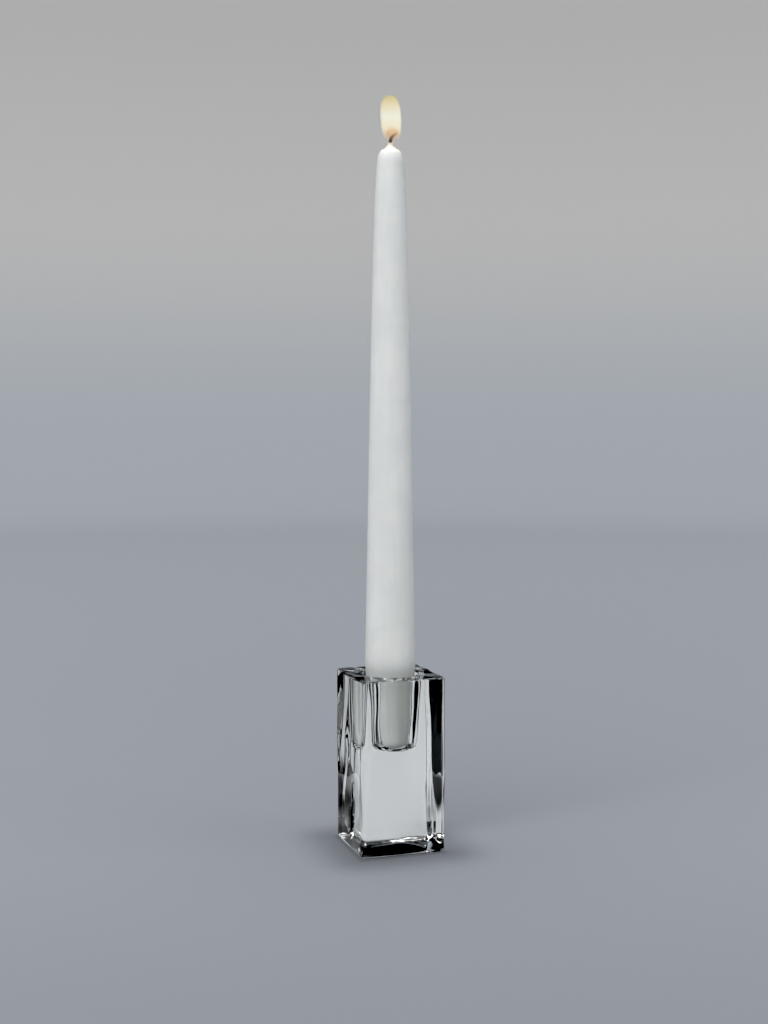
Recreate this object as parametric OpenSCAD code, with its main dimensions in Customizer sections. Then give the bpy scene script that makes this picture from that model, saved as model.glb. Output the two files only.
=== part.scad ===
// Glass candlestick: a square block of pressed clear glass with a tapered socket in its top,
// and the taper candle that stands in the socket, with its wick.
// The origin is the middle of the block's foot, and +Z is up. Sizes are millimetres.

/* [Glass block] */
// Width and depth across the flat sides
block_w = 40; // [38:0.5:60]
// Height of the block
block_h = 80; // [62:1:120]
// Radius of the four upright edges
upright_r = 3.0; // [2.2:0.1:5]
// Radius of the edges round the top face
top_edge_r = 1.0; // [0.4:0.1:2]
// Radius of the edges round the foot
foot_edge_r = 2.2; // [0.5:0.1:2.2]

/* [Hollow in the foot] */
// Width of the round hollow under the block, which leaves a flat rim to stand on
hollow_d = 30; // [10:0.5:31]
// Depth of that hollow at its middle
hollow_depth = 1.8; // [0.3:0.1:3]

/* [Socket] */
// Width of the socket where its wall meets the top face, before the lip is rounded
mouth_d = 25; // [24:0.1:28]
// Width of the socket where its wall meets its floor
floor_d = 20.2; // [19.4:0.1:21]
// Depth of the socket below the top face
socket_depth = 34; // [25:1:45]
// Radius between the wall and the floor
floor_edge_r = 4.0; // [0.5:0.1:4.4]
// Radius of the lip
lip_r = 0.8; // [0.3:0.1:1.2]

/* [Candle] */
// Widest width of the candle, just above its tapered foot
candle_d = 23; // [20:0.1:23.4]
// Width of the very end of the foot
foot_d = 17.8; // [10:0.1:18]
// Length of the tapered foot
foot_len = 38; // [35:0.1:60]
// Length of the candle from the end of its foot to the top of the wax
candle_len = 272; // [150:1:350]
// Width of the candle where its shoulder starts
shoulder_d = 12; // [8:0.1:16]
// Height of the rounded shoulder
shoulder_h = 7; // [3:0.5:15]

/* [Wick] */
// Thickness of the wick
wick_d = 1.8; // [1:0.1:3]
// How far the wick stands straight above the wax before it curls
wick_rise = 0.5; // [0:0.5:5]
// Radius of the curl at the burning end
curl_r = 4; // [2:0.5:8]
// Angle through which the curl turns
curl_angle = 75; // [20:5:90]
// Width of the ember at the very end
ember_d = 2.2; // [1.1:0.1:3.5]

/* [Hidden] */

$fn = 96;
// Clearance under the candle's foot
seat_gap = 0.3;
// Width of the bevel round the end of the candle's foot
foot_bevel = 1.6;
// Most of the narrowing from the candle's widest point to its shoulder is an even taper,
// and the rest is added near the tip: the higher tip_power is, the nearer the tip it starts
even_taper = 0.785;
tip_power = 11;
side_steps = 32;
shoulder_steps = 10;
// The nub of wax that climbs the wick
nub_d = 6.2;
nub_top_d = 2.6;
nub_h = 2.8;
// How far a cutting body reaches past the face it cuts
past = 1;

socket_floor_z = block_h - socket_depth;
foot_z = socket_floor_z + seat_gap;
body_z = foot_z + foot_len;
wax_top_z = foot_z + candle_len;
nub_z = wax_top_z - nub_h;
shoulder_z = nub_z - shoulder_h;
// Slope of the socket's wall, from upright
wall_angle = atan((mouth_d - floor_d) / 2 / socket_depth);

// Upright section of the block, with its top and foot edges rounded
module block_section(width, bottom_r = foot_edge_r, top_r = top_edge_r) {
    half = width / 2;
    translate([-half, bottom_r]) square([width, block_h - bottom_r - top_r]);
    translate([-half + bottom_r, 0]) square([width - 2 * bottom_r, bottom_r]);
    translate([-half + top_r, block_h - top_r]) square([width - 2 * top_r, top_r]);
    for (side = [-1, 1]) {
        translate([side * (half - bottom_r), bottom_r]) circle(bottom_r);
        translate([side * (half - top_r), block_h - top_r]) circle(top_r);
    }
}

// One slab of the block, as long as its flat face between two upright edges
module slab() {
    flat = block_w - 2 * upright_r;
    translate([0, flat / 2, 0]) rotate([90, 0, 0]) linear_extrude(flat) block_section(block_w);
}

// One rounded upright edge of the block, as a post
module upright_edge() {
    rotate_extrude() intersection() {
        block_section(2 * upright_r);
        square([upright_r, block_h]);
    }
}

module solid_block() {
    slab();
    rotate([0, 0, 90]) slab();
    for (x = [-1, 1], y = [-1, 1])
        translate([x, y, 0] * (block_w / 2 - upright_r)) upright_edge();
}

// Outline of the space inside the socket, with its rounded floor edge and its rounded lip
module socket_section() {
    mouth_r = mouth_d / 2;
    edge_x = (floor_d + 2 * floor_edge_r * tan(wall_angle)) / 2 - floor_edge_r / cos(wall_angle);
    edge_wall = [edge_x + floor_edge_r * cos(wall_angle), floor_edge_r * (1 - sin(wall_angle))];
    lip_x = mouth_r - lip_r * tan(wall_angle) + lip_r / cos(wall_angle);
    lip_wall = [lip_x - lip_r * cos(wall_angle), socket_depth - lip_r + lip_r * sin(wall_angle)];
    translate([0, socket_floor_z]) {
        polygon([[0, 0], [edge_x, 0], edge_wall, lip_wall, [0, lip_wall[1]]]);
        translate([edge_x, floor_edge_r]) intersection() {
            circle(floor_edge_r);
            translate([0, -floor_edge_r]) square(floor_edge_r);
        }
        difference() {
            polygon([[0, lip_wall[1]], lip_wall, [lip_x, lip_wall[1]], [lip_x, socket_depth + past],
                [0, socket_depth + past]]);
            translate([lip_x, socket_depth - lip_r]) circle(lip_r);
        }
    }
}

// Shallow round hollow, cut from a large ball
module foot_hollow() {
    ball_r = (pow(hollow_d / 2, 2) + pow(hollow_depth, 2)) / (2 * hollow_depth);
    translate([0, 0, hollow_depth - ball_r]) sphere(ball_r);
}

module glass_block() {
    color([0.82, 0.87, 0.88, 0.45]) difference() {
        solid_block();
        rotate_extrude() socket_section();
        foot_hollow();
    }
}

// Radius of the candle's side, where share runs from 0 at its widest to 1 at its shoulder
function side_r(share) =
    candle_d / 2 - (candle_d - shoulder_d) / 2
        * (even_taper * share + (1 - even_taper) * pow(share, tip_power));

module candle_section() {
    foot_r = foot_d / 2;
    foot = [[0, foot_z], [foot_r - foot_bevel, foot_z], [foot_r, foot_z + foot_bevel]];
    side = [for (i = [0 : side_steps])
        [side_r(i / side_steps), body_z + (shoulder_z - body_z) * i / side_steps]];
    shoulder = [for (i = [1 : shoulder_steps])
        let (a = 90 * i / shoulder_steps)
        [nub_d / 2 + (shoulder_d - nub_d) / 2 * cos(a), shoulder_z + shoulder_h * sin(a)]];
    nub = [[nub_top_d / 2, wax_top_z], [0, wax_top_z]];
    polygon(concat(foot, side, shoulder, nub));
}

module candle() {
    color([0.93, 0.92, 0.89]) difference() {
        rotate_extrude() candle_section();
        translate([0, 0, foot_z - past]) cylinder(d = wick_d, h = candle_len + 2 * past);
    }
}

// The wick runs the whole length of the candle and curls over at its burning end
module wick() {
    color([0.35, 0.27, 0.2]) {
        translate([0, 0, foot_z]) cylinder(d = wick_d, h = candle_len + wick_rise);
        translate([curl_r, 0, wax_top_z + wick_rise]) rotate([90, 0, 180]) {
            rotate_extrude(angle = curl_angle) translate([curl_r, 0]) circle(d = wick_d);
            rotate([0, 0, curl_angle]) translate([curl_r, 0, 0]) sphere(d = ember_d);
        }
    }
}

glass_block();
candle();
wick();
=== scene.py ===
import math

import bmesh
import bpy
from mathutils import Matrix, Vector


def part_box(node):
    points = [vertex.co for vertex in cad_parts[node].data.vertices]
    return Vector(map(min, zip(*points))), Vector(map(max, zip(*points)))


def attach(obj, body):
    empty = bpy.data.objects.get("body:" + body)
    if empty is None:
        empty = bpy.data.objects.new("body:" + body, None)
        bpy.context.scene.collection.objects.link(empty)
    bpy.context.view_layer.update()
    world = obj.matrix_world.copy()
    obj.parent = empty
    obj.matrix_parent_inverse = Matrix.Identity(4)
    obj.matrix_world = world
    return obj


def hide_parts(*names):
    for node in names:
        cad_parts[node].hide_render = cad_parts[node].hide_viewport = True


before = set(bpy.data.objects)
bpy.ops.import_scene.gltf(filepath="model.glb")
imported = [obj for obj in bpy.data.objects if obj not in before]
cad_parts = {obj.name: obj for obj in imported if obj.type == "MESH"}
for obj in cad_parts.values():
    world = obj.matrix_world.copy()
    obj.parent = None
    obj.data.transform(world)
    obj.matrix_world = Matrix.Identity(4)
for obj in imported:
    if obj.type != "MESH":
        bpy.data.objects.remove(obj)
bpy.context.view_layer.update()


# The glass block: one gob of clear glass pressed in a square mould. The plunger leaves the tapered
# socket in its top, the mould's floor leaves a shallow round hollow in its foot, and fire polishing
# rounds every edge and leaves the flat sides a little wavy.

block_low, block_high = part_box("glass_block")
block_width = block_high.x - block_low.x
block_height = block_high.z
upright_r = 0.0030
top_edge_r = 0.0010
foot_edge_r = 0.0022
hollow_r = 0.0150
hollow_depth = 0.0018
mouth_r = 0.0125
floor_r = 0.0101
socket_depth = 0.034
floor_edge_r = 0.0040
lip_r = 0.0008
corner_steps = 12
side_steps = 30
level_steps = 40
edge_steps = 10
collar_cuts = 6
lip_steps = 8
wall_steps = 20
floor_edge_steps = 12
hollow_steps = 16


def new_piece(name):
    """The object that the last operator added, named and in edit mode."""
    piece = bpy.context.object
    piece.name = piece.data.name = name
    bpy.ops.object.mode_set(mode="EDIT")
    return piece


def pick(piece, kind, wanted):
    """Selects the vertices, edges or faces for which wanted is true, and nothing else."""
    bpy.ops.mesh.select_mode(type=kind)
    bpy.ops.mesh.select_all(action="DESELECT")
    work = bmesh.from_edit_mesh(piece.data)
    parts = {"VERT": work.verts, "EDGE": work.edges, "FACE": work.faces}[kind]
    for part in parts:
        if wanted(part):
            part.select_set(True)
    bmesh.update_edit_mesh(piece.data)


def name_group(piece, name):
    """Keeps the selected vertices as a group of this name."""
    bpy.ops.object.vertex_group_assign_new()
    piece.vertex_groups[-1].name = name


def round_over(radius, steps):
    """Rounds the edge of the selected flat face as it is raised, ring by ring."""
    for step in range(steps):
        here = math.pi / 2 * step / steps
        there = math.pi / 2 * (step + 1) / steps
        inwards = radius * (math.cos(here) - math.cos(there))
        outwards = radius * (math.sin(there) - math.sin(here))
        bpy.ops.mesh.inset(thickness=inwards, depth=outwards)


def open_to_circle(piece, points, radius, height):
    """Turns the selected flat face into a flat collar round a circle, and selects that circle."""
    bpy.ops.mesh.delete(type="ONLY_FACE")
    bpy.ops.mesh.primitive_circle_add(vertices=points, radius=radius, location=(0, 0, height))
    pick(piece, "EDGE", lambda edge: not edge.is_manifold)
    bpy.ops.mesh.bridge_edge_loops(number_cuts=collar_cuts, interpolation="LINEAR")
    pick(piece, "EDGE", lambda edge: edge.is_boundary)


def draw_rings(profile, lean=0.0, start_x=0.0):
    """Extrudes the selected ring through the profile's (radius, height) points. The ring starts
    start_x along X, and moves along X by lean for each metre of height."""
    start_height = profile[0][1]
    for (radius, height), (next_radius, next_height) in zip(profile, profile[1:]):
        rise = next_height - height
        bpy.ops.mesh.extrude_region_move(TRANSFORM_OT_translate={"value": (lean * rise, 0, rise)})
        scale = next_radius / radius
        centre = (start_x + lean * (next_height - start_height), 0, next_height)
        bpy.ops.transform.resize(value=(scale, scale, 1), center_override=centre)


def arc(centre, radius, start, end, steps):
    """(radius, height) points of an arc about centre, with its angles in degrees."""
    angles = [math.radians(start + (end - start) * step / steps) for step in range(steps + 1)]
    return [(centre[0] + radius * math.cos(a), centre[1] + radius * math.sin(a)) for a in angles]


def close_piece(piece):
    """Merges what meets, points every face outwards and leaves edit mode."""
    bpy.ops.mesh.select_all(action="SELECT")
    bpy.ops.mesh.remove_doubles(threshold=0.000001)
    bpy.ops.mesh.normals_make_consistent(inside=False)
    bpy.ops.object.mode_set(mode="OBJECT")
    bpy.ops.object.shade_smooth()
    bpy.ops.object.transform_apply(location=True, rotation=True, scale=True)


bpy.ops.object.select_all(action="DESELECT")
bpy.ops.mesh.primitive_plane_add(size=block_width, location=(0, 0, foot_edge_r))
glass = new_piece("clear_glass_block")
bpy.ops.mesh.bevel(offset=upright_r, segments=corner_steps, affect="VERTICES")
pick(glass, "EDGE", lambda edge: edge.calc_length() > upright_r)
bpy.ops.mesh.subdivide(number_cuts=side_steps - 1)
outline_points = len(bmesh.from_edit_mesh(glass.data).verts)
bpy.ops.mesh.select_all(action="SELECT")
level_height = (block_height - foot_edge_r - top_edge_r) / level_steps
for level in range(level_steps):
    bpy.ops.mesh.extrude_region_move(TRANSFORM_OT_translate={"value": (0, 0, level_height)})
pick(glass, "FACE", lambda face: len(face.verts) > 4 and face.calc_center_median().z > block_height / 2)

round_over(top_edge_r, edge_steps)
wall_angle = math.atan((mouth_r - floor_r) / socket_depth)
socket_floor = block_height - socket_depth
lip_x = mouth_r - lip_r * math.tan(wall_angle) + lip_r / math.cos(wall_angle)
open_to_circle(glass, outline_points, lip_x, block_height)
lip = arc((lip_x, block_height - lip_r), lip_r, 90, 180 - math.degrees(wall_angle), lip_steps)
edge_x = floor_r + floor_edge_r * math.tan(wall_angle) - floor_edge_r / math.cos(wall_angle)
edge_centre = (edge_x, socket_floor + floor_edge_r)
floor_edge = arc(edge_centre, floor_edge_r, -math.degrees(wall_angle), -90, floor_edge_steps)
wall_top = Vector(lip[-1])
wall_foot = Vector(floor_edge[0])
wall = [tuple(wall_top.lerp(wall_foot, step / wall_steps)) for step in range(1, wall_steps)]
floor = [(edge_x * share, socket_floor) for share in (0.75, 0.5, 0.25, 0.03)]
draw_rings(lip + wall + floor_edge + floor)
bpy.ops.mesh.merge(type="CENTER")
pick(glass, "VERT", lambda corner: corner.co.xy.length < mouth_r - 0.0003
     and corner.co.z > socket_floor + 0.0001)
name_group(glass, "socket")

pick(glass, "FACE", lambda face: len(face.verts) > 4 and face.normal.z < -0.9)
round_over(foot_edge_r, edge_steps)
open_to_circle(glass, outline_points, hollow_r, 0)
ball_r = (hollow_r ** 2 + hollow_depth ** 2) / (2 * hollow_depth)
hollow_angle = math.degrees(math.asin(hollow_r / ball_r))
draw_rings(arc((0, hollow_depth - ball_r), ball_r, 90 - hollow_angle, 89.9, hollow_steps))
bpy.ops.mesh.merge(type="CENTER")
collar_r = mouth_r + 0.0015
foot_rim_top = 0.0003
pick(glass, "VERT", lambda corner: corner.co.z > foot_rim_top and not (
    corner.co.xy.length < collar_r and corner.co.z > socket_floor - 0.0001))
name_group(glass, "outside")
bpy.ops.mesh.select_all(action="SELECT")
bpy.ops.object.vertex_group_smooth(group_select_mode="ACTIVE", factor=0.5, repeat=2)
close_piece(glass)


def make_wavy(piece, group, wave, stretch, height):
    """Moves the group's surface in and out by height, in waves stretched this much upwards."""
    cloud = bpy.data.textures.new("waves", "CLOUDS")
    cloud.noise_scale = wave
    cloud.noise_depth = 0
    ruler = bpy.data.objects.new("ruler", None)
    bpy.context.scene.collection.objects.link(ruler)
    ruler.scale = (1, 1, stretch)
    ruler.location = (0.013, 0.02, 0.01)
    bpy.context.view_layer.update()
    waves = piece.modifiers.new("waves", "DISPLACE")
    waves.texture = cloud
    waves.texture_coords = "OBJECT"
    waves.texture_coords_object = ruler
    waves.vertex_group = group
    waves.strength = height
    bpy.ops.object.modifier_apply(modifier=waves.name)
    bpy.data.objects.remove(ruler)


# The waves are longer up the block than across it, and the rim that it stands on stays flat.
make_wavy(glass, "outside", 0.010, 3, 0.0009)
make_wavy(glass, "outside", 0.0042, 6, 0.00010)
make_wavy(glass, "socket", 0.006, 2, 0.00030)

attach(glass, "holder")
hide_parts("glass_block")


class Wire:
    """A node's output, on which ordinary arithmetic adds Math nodes."""

    def __init__(self, finish, socket):
        self.finish = finish
        self.socket = socket

    def maths(self, operation, *values):
        inputs = dict(enumerate(values))
        return self.finish.add("ShaderNodeMath", {"operation": operation}, inputs)

    def __add__(self, other):
        return self.maths("ADD", self, other)

    def __sub__(self, other):
        return self.maths("SUBTRACT", self, other)

    def __mul__(self, other):
        return self.maths("MULTIPLY", self, other)

    def __truediv__(self, other):
        return self.maths("DIVIDE", self, other)

    def __pow__(self, other):
        return self.maths("POWER", self, other)

    def __radd__(self, other):
        return self.maths("ADD", other, self)

    def __rsub__(self, other):
        return self.maths("SUBTRACT", other, self)

    def __rmul__(self, other):
        return self.maths("MULTIPLY", other, self)

    def smooth_step(self, low, high):
        """0 below low, 1 above high, and a smooth rise between."""
        values = {"Value": self, "From Min": low, "From Max": high}
        return self.finish.add("ShaderNodeMapRange", {"interpolation_type": "SMOOTHSTEP"}, values)


class Finish:
    """One material: a Principled shader, and the nodes that feed it."""

    def __init__(self, name, **values):
        self.material = bpy.data.materials.new(name)
        self.material.use_nodes = True
        self.tree = self.material.node_tree
        self.shader = self.tree.nodes["Principled BSDF"]
        self.set(self.shader, {key.replace("_", " "): value for key, value in values.items()})

    def set(self, node, values):
        for key, value in values.items():
            if isinstance(value, Wire):
                self.tree.links.new(value.socket, node.inputs[key])
            else:
                node.inputs[key].default_value = value

    def add(self, kind, settings=None, values=None, out=0):
        """A node of this kind, with its settings made before its sockets are fed, as a Wire."""
        node = self.tree.nodes.new(kind)
        for key, value in (settings or {}).items():
            if key == "stops":
                ramp = node.color_ramp.elements
                for index, (place, colour) in enumerate(value):
                    stop = ramp[index] if index < 2 else ramp.new(place)
                    stop.position = place
                    stop.color = (*colour, 1)
            else:
                setattr(node, key, value)
        self.set(node, values or {})
        return Wire(self, node.outputs[out])

    def place(self):
        """Where a point of the piece is, in metres."""
        return self.add("ShaderNodeTexCoord", out="Object")

    def along(self, x, y, z=0.0):
        """How far a point lies from the middle of the foot, measured in this direction."""
        values = {0: self.place(), 1: (x, y, z)}
        return self.add("ShaderNodeVectorMath", {"operation": "DOT_PRODUCT"}, values, out=1)

    def stretch(self, x, y, z):
        """The place of a point, scaled along each axis, so that a pattern on it is drawn out."""
        values = {0: self.place(), 1: (x, y, z)}
        return self.add("ShaderNodeVectorMath", {"operation": "MULTIPLY"}, values)

    def noise(self, size, detail=2.0, roughness=0.5, vector=None):
        """Even noise from 0 to 1, whose lumps are about this many metres across."""
        values = {"Vector": vector or self.place(), "Scale": 1 / size}
        values.update({"Detail": detail, "Roughness": roughness})
        return self.add("ShaderNodeTexNoise", values=values)

    def mix(self, share, low, high):
        """Low where share is 0 and high where it is 1, for two colours or colour wires."""
        values = {"Factor": share, 6: low, 7: high}
        return self.add("ShaderNodeMix", {"data_type": "RGBA"}, values, out=2)

    def bump(self, height, depth):
        """A normal that follows height, which runs from 0 to 1 over this depth in metres."""
        return self.add("ShaderNodeBump", values={"Height": height, "Distance": depth})

    def use(self, **values):
        self.set(self.shader, {key.replace("_", " "): value for key, value in values.items()})

    def paint(self, piece):
        piece.data.materials.clear()
        piece.data.materials.append(self.material)


clear_glass = Finish("clear_glass", IOR=1.5, Transmission_Weight=1.0)
cords = clear_glass.noise(0.006, detail=2, vector=clear_glass.stretch(1, 1, 0.3))
handling = clear_glass.noise(0.0012, detail=4)
clear_glass.use(Base_Color=clear_glass.mix(cords, (0.965, 0.985, 0.98, 1), (0.985, 0.995, 0.99, 1)))
clear_glass.use(Roughness=handling.smooth_step(0.5, 0.8) * 0.012)
clear_glass.use(Normal=clear_glass.bump(cords, 0.00002))
clear_glass.paint(glass)
glass.visible_shadow = False


# The candle: a household taper of ivory wax, drawn in a mould, with a conical foot that wedges into
# the socket. Its sides taper evenly and then more quickly near the tip, and the lit end has melted
# to a rounded shoulder, with a nub of wax drawn up the wick.

candle_low, candle_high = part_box("candle")
candle_r = candle_high.x
foot_r = 0.0089
foot_length = 0.038
foot_bevel = 0.0016
shoulder_r = 0.006
shoulder_height = 0.007
nub_r = 0.0031
nub_top_r = 0.0013
nub_height = 0.0028
even_taper = 0.785
tip_power = 11
foot_steps = 16
taper_steps = 110
shoulder_steps = 16
nub_steps = 10

side_low = candle_low.z + foot_length
shoulder_low = candle_high.z - nub_height - shoulder_height


def foot_point(share):
    """A point on the conical foot, from the top of its bevel to the candle's widest place."""
    height = candle_low.z + foot_bevel + (foot_length - foot_bevel) * share
    return foot_r + (candle_r - foot_r) * share, height


def side_point(share):
    """A point on the candle's side, from its widest place to the start of its shoulder."""
    narrowed = even_taper * share + (1 - even_taper) * share ** tip_power
    height = side_low + (shoulder_low - side_low) * share
    return candle_r + (shoulder_r - candle_r) * narrowed, height


def shoulder_point(share):
    """A point on the melted shoulder, from the candle's side to the foot of the nub."""
    angle = math.pi / 2 * share
    height = shoulder_low + shoulder_height * math.sin(angle)
    return nub_r + (shoulder_r - nub_r) * math.cos(angle), height


def nub_point(share):
    """A point on the nub, which sweeps in as it climbs the wick."""
    height = candle_high.z - nub_height * (1 - share)
    return nub_top_r + (nub_r - nub_top_r) * (1 - share) ** 2, height


bpy.ops.object.select_all(action="DESELECT")
candle_rings = [(foot_r - foot_bevel, candle_low.z)]
candle_rings += [foot_point(step / foot_steps) for step in range(foot_steps)]
candle_rings += [side_point(step / taper_steps) for step in range(taper_steps + 1)]
candle_rings += [shoulder_point(step / shoulder_steps) for step in range(1, shoulder_steps + 1)]
candle_rings += [nub_point(step / nub_steps) for step in range(1, nub_steps + 1)]
bpy.ops.mesh.primitive_circle_add(
    vertices=96, radius=foot_r - foot_bevel, fill_type="NGON", location=(0, 0, candle_low.z))
candle = new_piece("taper_candle")
draw_rings(candle_rings)
bpy.ops.mesh.inset(thickness=0.0006)
bpy.ops.mesh.merge(type="CENTER")
close_piece(candle)
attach(candle, "taper")
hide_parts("candle")

wax = Finish("ivory_wax", IOR=1.44, Subsurface_Weight=0.5, Subsurface_Scale=0.003)
wax.use(Subsurface_Radius=(1.0, 0.8, 0.6), Specular_IOR_Level=0.4)
wax_height = wax.along(0, 0, 1)
clouding = wax.noise(0.014, detail=3)
drawn = wax.noise(0.0025, detail=2, vector=wax.stretch(1, 1, 0.08))
fine_grain = wax.noise(0.0006)
wax_tone = wax.mix(clouding.smooth_step(0.3, 0.7), (0.80, 0.815, 0.80, 1), (0.86, 0.865, 0.845, 1))
wax_tone = wax.mix(drawn.smooth_step(0.35, 0.7) * 0.35, wax_tone, (0.76, 0.78, 0.765, 1))
# Painted shade: the wax is painted greyer inside the socket and up to 10 mm above the block's top.
painted_rim_shade = 1 - wax_height.smooth_step(block_height - 0.003, block_height + 0.010)
wax_tone = wax.mix(painted_rim_shade * 0.5, wax_tone, (0.45, 0.49, 0.47, 1))
molten = wax_height.smooth_step(candle_high.z - 0.0022, candle_high.z - 0.0002)
wax_tone = wax.mix(molten * 0.6, wax_tone, (0.62, 0.48, 0.36, 1))
thin_wax = wax_height.smooth_step(candle_high.z - 0.0040, candle_high.z - 0.0015)
thin_wax = thin_wax * drawn.smooth_step(0.3, 0.6)
wax_tone = wax.mix(thin_wax * 0.45, wax_tone, (0.50, 0.43, 0.42, 1))
wax.use(Base_Color=wax_tone)
wax.use(Roughness=0.52 - molten * 0.35 - drawn * 0.12)
wax.use(Normal=wax.bump(clouding * 0.7 + drawn * 0.25 + fine_grain * 0.05, 0.0002))
wax.paint(candle)


# The wick: three yarns of cotton plaited flat, burnt black-brown where they leave the wax and curled
# over by the plait's own tension. The very end still glows.

curl_r = 0.004
curl_angle = math.radians(75)
curl_low = candle_high.z + 0.0005
yarn_r = 0.00042
plait_width = 0.00062
plait_depth = 0.00034
plait_pitch = 0.0030
buried = 0.006
yarn_points = 60
wick_length = buried + (curl_low - candle_high.z) + curl_r * curl_angle


def wick_point(length):
    """The middle of the wick this far along it, and the direction across its curl."""
    past = length - buried - (curl_low - candle_high.z)
    if past <= 0:
        return Vector((0, 0, candle_high.z - buried + length)), Vector((1, 0, 0))
    turn = past / curl_r
    middle = Vector((curl_r * (1 - math.cos(turn)), 0, curl_low + curl_r * math.sin(turn)))
    return middle, Vector((math.cos(turn), 0, -math.sin(turn)))


bpy.ops.object.select_all(action="DESELECT")
yarns = []
for yarn_number in range(3):
    bpy.ops.curve.primitive_nurbs_path_add()
    yarn = bpy.context.object
    yarns.append(yarn)
    yarn.data.bevel_depth = yarn_r
    yarn.data.bevel_resolution = 4
    yarn.data.use_fill_caps = True
    yarn.data.resolution_u = 3
    path = yarn.data.splines[0]
    path.points.add(yarn_points - len(path.points))
    for step in range(yarn_points):
        length = wick_length * step / (yarn_points - 1)
        middle, sideways = wick_point(length)
        turn = 2 * math.pi * (length / plait_pitch + yarn_number / 3)
        place = middle + Vector((0, 1, 0)) * plait_width * math.sin(turn)
        place += sideways * plait_depth * math.sin(2 * turn)
        path.points[step].co = (*place, 1)
        path.points[step].radius = 1 - 0.35 * (step / (yarn_points - 1)) ** 6
    path.use_endpoint_u = True
for yarn in yarns:
    yarn.select_set(True)
bpy.ops.object.convert(target="MESH")
bpy.ops.object.join()
wick = new_piece("plaited_wick")
close_piece(wick)
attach(wick, "taper")
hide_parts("wick")

charred = Finish("charred_cotton", Specular_IOR_Level=0.2)
burnt = charred.along(0, 0, 1).smooth_step(candle_high.z - 0.0005, candle_high.z + 0.0018)
fibres = charred.noise(0.0003, detail=4)
char_tone = charred.mix(burnt, (0.22, 0.14, 0.06, 1), (0.030, 0.020, 0.008, 1))
charred.use(Base_Color=charred.mix(fibres.smooth_step(0.4, 0.75) * 0.5, char_tone, (0.16, 0.09, 0.05, 1)))
charred.use(Roughness=0.75 + fibres * 0.2, Normal=charred.bump(fibres, 0.00012))
glow = charred.along(1, 0, 0).smooth_step(0.0017, 0.0026) * fibres.smooth_step(0.3, 0.6)
charred.use(Emission_Color=charred.mix(glow, (0, 0, 0, 1), (0.75, 0.16, 0.02, 1)), Emission_Strength=0.6)
charred.paint(wick)


# The flame: a steady, slender candle flame that leans a little away from the curl. It is gas, not a
# solid, so its shells give light and are partly see-through, and they throw no shadow.

flame_low = candle_high.z - 0.0006
flame_height = 0.0216
flame_r = 0.00467
flame_lean = -0.055
flame_foot_x = 0.0009


def foot_share(size):
    """Where a shell of this size starts, as a share of the flame's height."""
    return (1 - size) * 0.85


def flame_point(share, size):
    """A (radius, height) point on a shell of the flame, from its foot at 0 to its tip at 1."""
    barrel = (1 - abs(2 * share - 1) ** 3) ** 0.42
    drawn_in = 1 - 0.25 * (1 - share) ** 4
    height = flame_low + flame_height * (foot_share(size) + size * share)
    return flame_r * size * barrel * drawn_in, height


def gas_shell(name, rings, lean):
    """A closed round shell through these rings, which leans along X as it rises."""
    bpy.ops.object.select_all(action="DESELECT")
    bpy.ops.mesh.primitive_circle_add(
        vertices=48, radius=rings[0][0], fill_type="NGON", location=(flame_foot_x, 0, rings[0][1]))
    shell = new_piece(name)
    draw_rings(rings, lean, flame_foot_x)
    bpy.ops.mesh.merge(type="CENTER")
    close_piece(shell)
    shell.visible_shadow = False
    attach(shell, "taper")
    return shell


def burning_gas(name, stops, size, cloud):
    """Glowing gas whose colour and cloudiness change from the flame's foot to its tip."""
    gas = Finish(name, Base_Color=(0, 0, 0, 1), Emission_Strength=1.0, Specular_IOR_Level=0)
    share = (gas.along(0, 0, 1) - flame_low) / flame_height
    stir = gas.noise(0.004, detail=1) - 0.5
    gas.use(Emission_Color=gas.add("ShaderNodeValToRGB", {"stops": stops}, {"Fac": share + stir * 0.16}))
    foot = foot_share(size)
    gas.use(Alpha=share.smooth_step(foot - 0.05, foot + 0.38) * cloud)
    return gas


gas_stops = (
    (0.00, (0.50, 0.44, 0.60)),
    (0.14, (0.72, 0.56, 0.36)),
    (0.30, (0.87, 0.80, 0.58)),
    (0.55, (0.86, 0.86, 0.73)),
    (0.80, (0.80, 0.69, 0.46)),
    (1.00, (0.58, 0.53, 0.26)),
)
shells = (
    # name, size as a share of the whole flame, and how cloudy the gas is
    ("flame_mantle", 1.00, 0.45),
    ("flame_body", 0.90, 0.60),
    ("flame_core", 0.76, 0.80),
)
flame_steps = 40
for name, size, cloud in shells:
    shares = [0.5 - 0.5 * math.cos(math.pi * step / flame_steps) for step in range(1, flame_steps)]
    shell = gas_shell(name, [flame_point(share, size) for share in shares], flame_lean)
    burning_gas("gas_of_" + name, gas_stops, size, cloud).paint(shell)

# The heart is the dim red gas close round the wick, inside the other shells.
heart_low = flame_low + 0.0018
heart_height = 0.0066
heart_r = 0.0027
heart_steps = 24


def heart_point(share):
    """A (radius, height) point on the heart, from its foot at 0 to its tip at 1."""
    bulge = math.sin(math.pi * (0.08 + 0.92 * share)) ** 0.7
    return heart_r * bulge + 0.0001, heart_low + heart_height * share


heart = gas_shell("flame_heart", [heart_point(step / heart_steps) for step in range(heart_steps)], 0.0)
ember_gas = Finish("ember_gas", Base_Color=(0, 0, 0, 1), Emission_Strength=1.0, Specular_IOR_Level=0)
rise = (ember_gas.along(0, 0, 1) - heart_low) / heart_height
ember_stops = ((0.0, (0.40, 0.22, 0.08)), (0.5, (0.62, 0.21, 0.03)), (1.0, (0.70, 0.31, 0.08)))
ember_gas.use(Emission_Color=ember_gas.add("ShaderNodeValToRGB", {"stops": ember_stops}, {"Fac": rise}))
ember_gas.use(Alpha=0.08 + rise.smooth_step(0.15, 0.75) * 0.62)
ember_gas.paint(heart)

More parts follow.
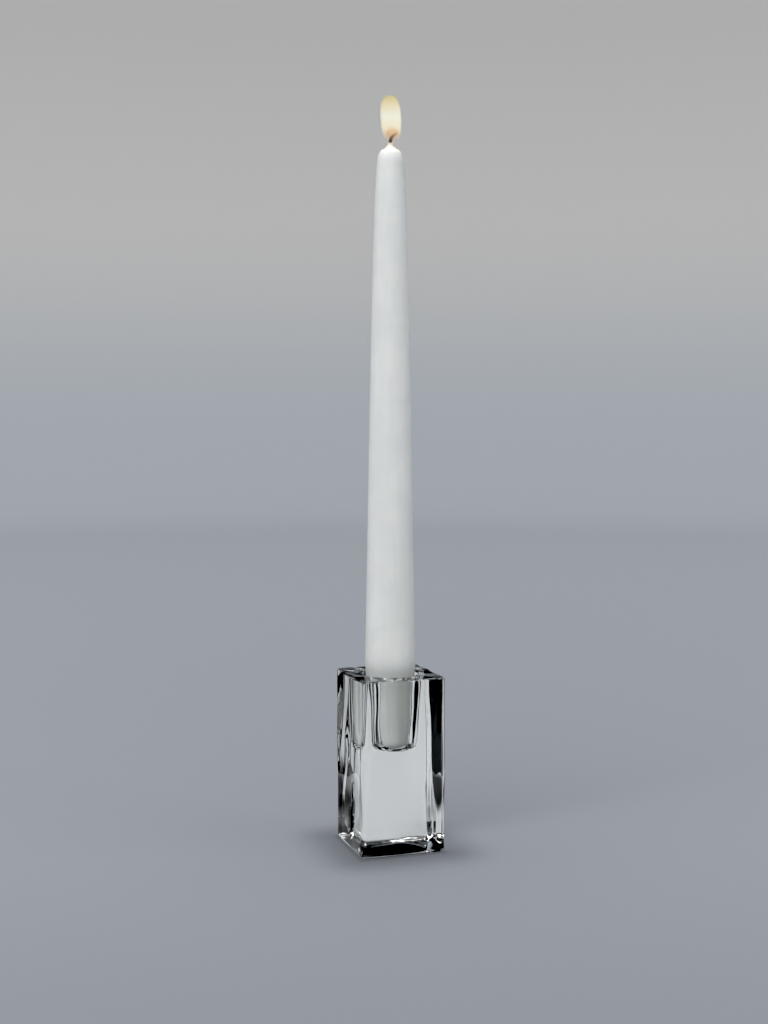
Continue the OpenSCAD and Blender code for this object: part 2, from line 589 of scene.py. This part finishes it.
flame_light = bpy.data.lights.new("flame_light", "POINT")
flame_light.energy = 0.012
flame_light.color = (1.0, 0.82, 0.55)
flame_light.shadow_soft_size = flame_r
lamp = bpy.data.objects.new("flame_light", flame_light)
bpy.context.scene.collection.objects.link(lamp)
lamp.location = (0, 0, flame_low + flame_height / 2)
lamp.parent = heart


# The studio: a pale seamless paper floor that curves up into a wall all round, soft lights above it,
# and the camera. Clear glass shows only what lies round it, so the paper has two painted copies. The
# glass sees a painted light patch near its foot, with painted dark lanes, dark cards and a painted dark
# wall beyond. The camera sees grey paper with painted shade: darker near the middle and towards the
# front, painted lighter up the wall, and a painted shadow round the block's foot.

floor_level = -0.0001
floor_radius = 1.6
cove_radius = 1.0
wall_height = 1.7
first_r = 0.1
cove_steps = 24

bpy.ops.object.select_all(action="DESELECT")
bpy.ops.mesh.primitive_circle_add(vertices=128, radius=first_r, location=(0, 0, floor_level))
sweep = new_piece("paper_sweep")
bpy.ops.mesh.edge_face_add()
pick(sweep, "EDGE", lambda edge: True)
cove = arc((floor_radius, cove_radius + floor_level), cove_radius, -90, 0, cove_steps)
draw_rings([(first_r, floor_level), (floor_radius / 2, floor_level), (floor_radius, floor_level)]
           + cove[1:] + [(floor_radius + cove_radius, wall_height)])
pick(sweep, "FACE", lambda face: len(face.verts) > 4 and face.calc_center_median().z > cove_radius)
bpy.ops.mesh.delete(type="ONLY_FACE")
close_piece(sweep)

paper = Finish("grey_paper", Roughness=0.9)
flat = paper.add("ShaderNodeVectorMath", {"operation": "MULTIPLY"}, {0: paper.place(), 1: (1, 1, 0)})
reach = paper.add("ShaderNodeVectorMath", {"operation": "LENGTH"}, {0: flat}, out=1)
seen = paper.add("ShaderNodeLightPath", out="Is Camera Ray")
# darkness is the colour of the painted shade on the paper below.
darkness = (0.01, 0.01, 0.01, 1)
# Painted shade: the paper that the glass sees is painted dark higher up the wall.
painted_dark_far_paper = paper.mix(paper.along(0, 0, 1).smooth_step(0.3, 0.7), (0.40, 0.43, 0.47, 1), darkness)
# Painted light: near the foot, the paper that the glass sees is painted far lighter than the paper that
# the camera sees.
glass_view_painted_paper = paper.mix(reach.smooth_step(0.42, 0.52), (0.56, 0.575, 0.59, 1), painted_dark_far_paper)
# Painted shade: dark lanes on the paper that only the glass sees.
lanes = (
    # heading in degrees from +X, middle, half width, start, full darkness and end
    (108.4, -0.021, 0.011, 0.072, 0.095, 0.16),
    (-71.6, 0.010, 0.055, -0.01, 0.02, 0.13),
    (71.6, 0.055, 0.030, 0.03, 0.06, 0.13),
    (125, 0.020, 0.018, 0.01, 0.05, 0.13),
    (8, 0, 0.040, 0.00, 0.14, 0.22),
    (155, 0, 0.040, 0.00, 0.16, 0.22),
)
for heading, middle, half_width, start, full, end in lanes:
    angle = math.radians(heading)
    along = paper.along(math.cos(angle), math.sin(angle))
    across = paper.along(-math.sin(angle), math.cos(angle)) - middle
    inside = 1 - (across * across).smooth_step((0.7 * half_width) ** 2, (1.2 * half_width) ** 2)
    inside = inside * (1 - along.smooth_step(0.8 * end, end))
    glass_view_painted_paper = paper.mix(along.smooth_step(start, full) * inside, glass_view_painted_paper, darkness)


def clear_of_block(x, y):
    """How far a point lies outside the block's side that faces this way or the opposite way."""
    from_middle = paper.along(x, y)
    past_side = from_middle.maths("ABSOLUTE", from_middle) - block_width / 2
    return past_side.maths("MAXIMUM", past_side, 0.0)


beside = (clear_of_block(1, 0) ** 2 + clear_of_block(0, 1) ** 2) ** 0.5
# Painted shadow: a soft dark ring round the block's foot, and a darker edge where the foot meets the
# paper.
painted_foot_shadow = (1 - beside.smooth_step(0.0, 0.030)) ** 1.5
painted_contact_shadow = 1 - beside.smooth_step(-0.002, 0.0022)
# Painted shade: the floor is painted darker towards the front.
painted_front_shade = 1 - paper.along(0.316, 0.949).smooth_step(-0.35, 0.03)
painted_front_shade = painted_front_shade * (1 - reach.smooth_step(0.25, 0.65))
# Painted light: the wall is painted lighter as it rises.
upwards = paper.along(0, 0, 1).smooth_step(0.1, 0.6)
# Painted shade: the paper that the camera sees is darker near the middle and lighter further out.
camera_view_painted_paper = paper.mix(reach / 1.8, (0.281, 0.298, 0.337, 1), (0.494, 0.532, 0.569, 1))
camera_view_painted_paper = paper.mix(upwards, camera_view_painted_paper, (0.66, 0.65, 0.635, 1))
camera_view_painted_paper = paper.mix(painted_front_shade * 0.25, camera_view_painted_paper, darkness)
# Painted shadow round the block's foot, in near black.
camera_view_painted_paper = paper.mix(painted_foot_shadow * 0.5 + painted_contact_shadow * 0.45, camera_view_painted_paper, (0.06, 0.065, 0.07, 1))
# Camera rays see the painted grey copy of the paper, all other rays the painted copy with the light patch
# and dark lanes.
paper.use(Base_Color=paper.mix(seen, glass_view_painted_paper, camera_view_painted_paper))
paper.paint(sweep)

world = bpy.data.worlds.new("studio")
bpy.context.scene.world = world
world.use_nodes = True
dome = world.node_tree.nodes["Background"]
dome.inputs["Color"].default_value = (0.98, 0.985, 1, 1)
dome.inputs["Strength"].default_value = 0.95
world.cycles_visibility.glossy = False
world.cycles_visibility.transmission = False


def soft_light(name, place, size, power):
    """A square area light that faces the candle's middle."""
    data = bpy.data.lights.new(name, "AREA")
    data.size = size
    data.energy = power
    light = bpy.data.objects.new(name, data)
    bpy.context.scene.collection.objects.link(light)
    light.location = place
    light.rotation_euler = (Vector((0, 0, 0.15)) - Vector(place)).to_track_quat("-Z", "Y").to_euler()


def dark_card(name, heading, distance, width, height):
    """A black card that stands on the floor facing the block, and shows only in the glass."""
    angle = math.radians(heading)
    bpy.ops.object.select_all(action="DESELECT")
    bpy.ops.mesh.primitive_plane_add(
        size=1, location=(distance * math.cos(angle), distance * math.sin(angle), height / 2),
        rotation=(math.pi / 2, 0, angle + math.pi / 2))
    card = bpy.context.object
    card.name = card.data.name = name
    card.scale = (width, height, 1)
    bpy.ops.object.transform_apply(location=True, rotation=True, scale=True)
    card.visible_camera = False
    card.visible_diffuse = False
    card.visible_shadow = False
    black_card.paint(card)


black_card = Finish("black_card", Base_Color=(0, 0, 0, 1), Specular_IOR_Level=0)
dark_card("card_behind_left", 108.4, 0.14, 0.07, 0.16)
dark_card("card_front_right", -71.6, 0.10, 0.07, 0.16)
dark_card("card_right", 8, 0.15, 0.14, 0.16)
dark_card("card_left", 155, 0.17, 0.07, 0.16)

soft_light("key_light", (-1.0, -0.8, 1.9), 1.1, 26)
soft_light("fill_light", (1.3, -0.9, 1.7), 1.1, 7)

camera_turn = math.radians(18.43)
camera_pitch = math.radians(4.47)
camera_height = 0.2071
camera_reach = 0.683
camera_shift = -0.0028
forward = Vector((math.sin(camera_turn), math.cos(camera_turn), 0))
sideways = Vector((math.cos(camera_turn), -math.sin(camera_turn), 0))
camera_data = bpy.data.cameras.new("camera")
camera_data.lens = 53.1
camera_data.sensor_width = 36
camera = bpy.data.objects.new("camera", camera_data)
bpy.context.scene.collection.objects.link(camera)
camera.location = camera_shift * sideways - camera_reach * forward + Vector((0, 0, camera_height))
camera.rotation_euler = (math.pi / 2 - camera_pitch, 0, -camera_turn)
bpy.context.scene.camera = camera
view = bpy.context.scene.view_settings
view.view_transform = "Standard"
view.use_curve_mapping = True
deepest_black = 0.018
view.curve_mapping.black_level = (deepest_black, deepest_black, deepest_black)
view.curve_mapping.update()
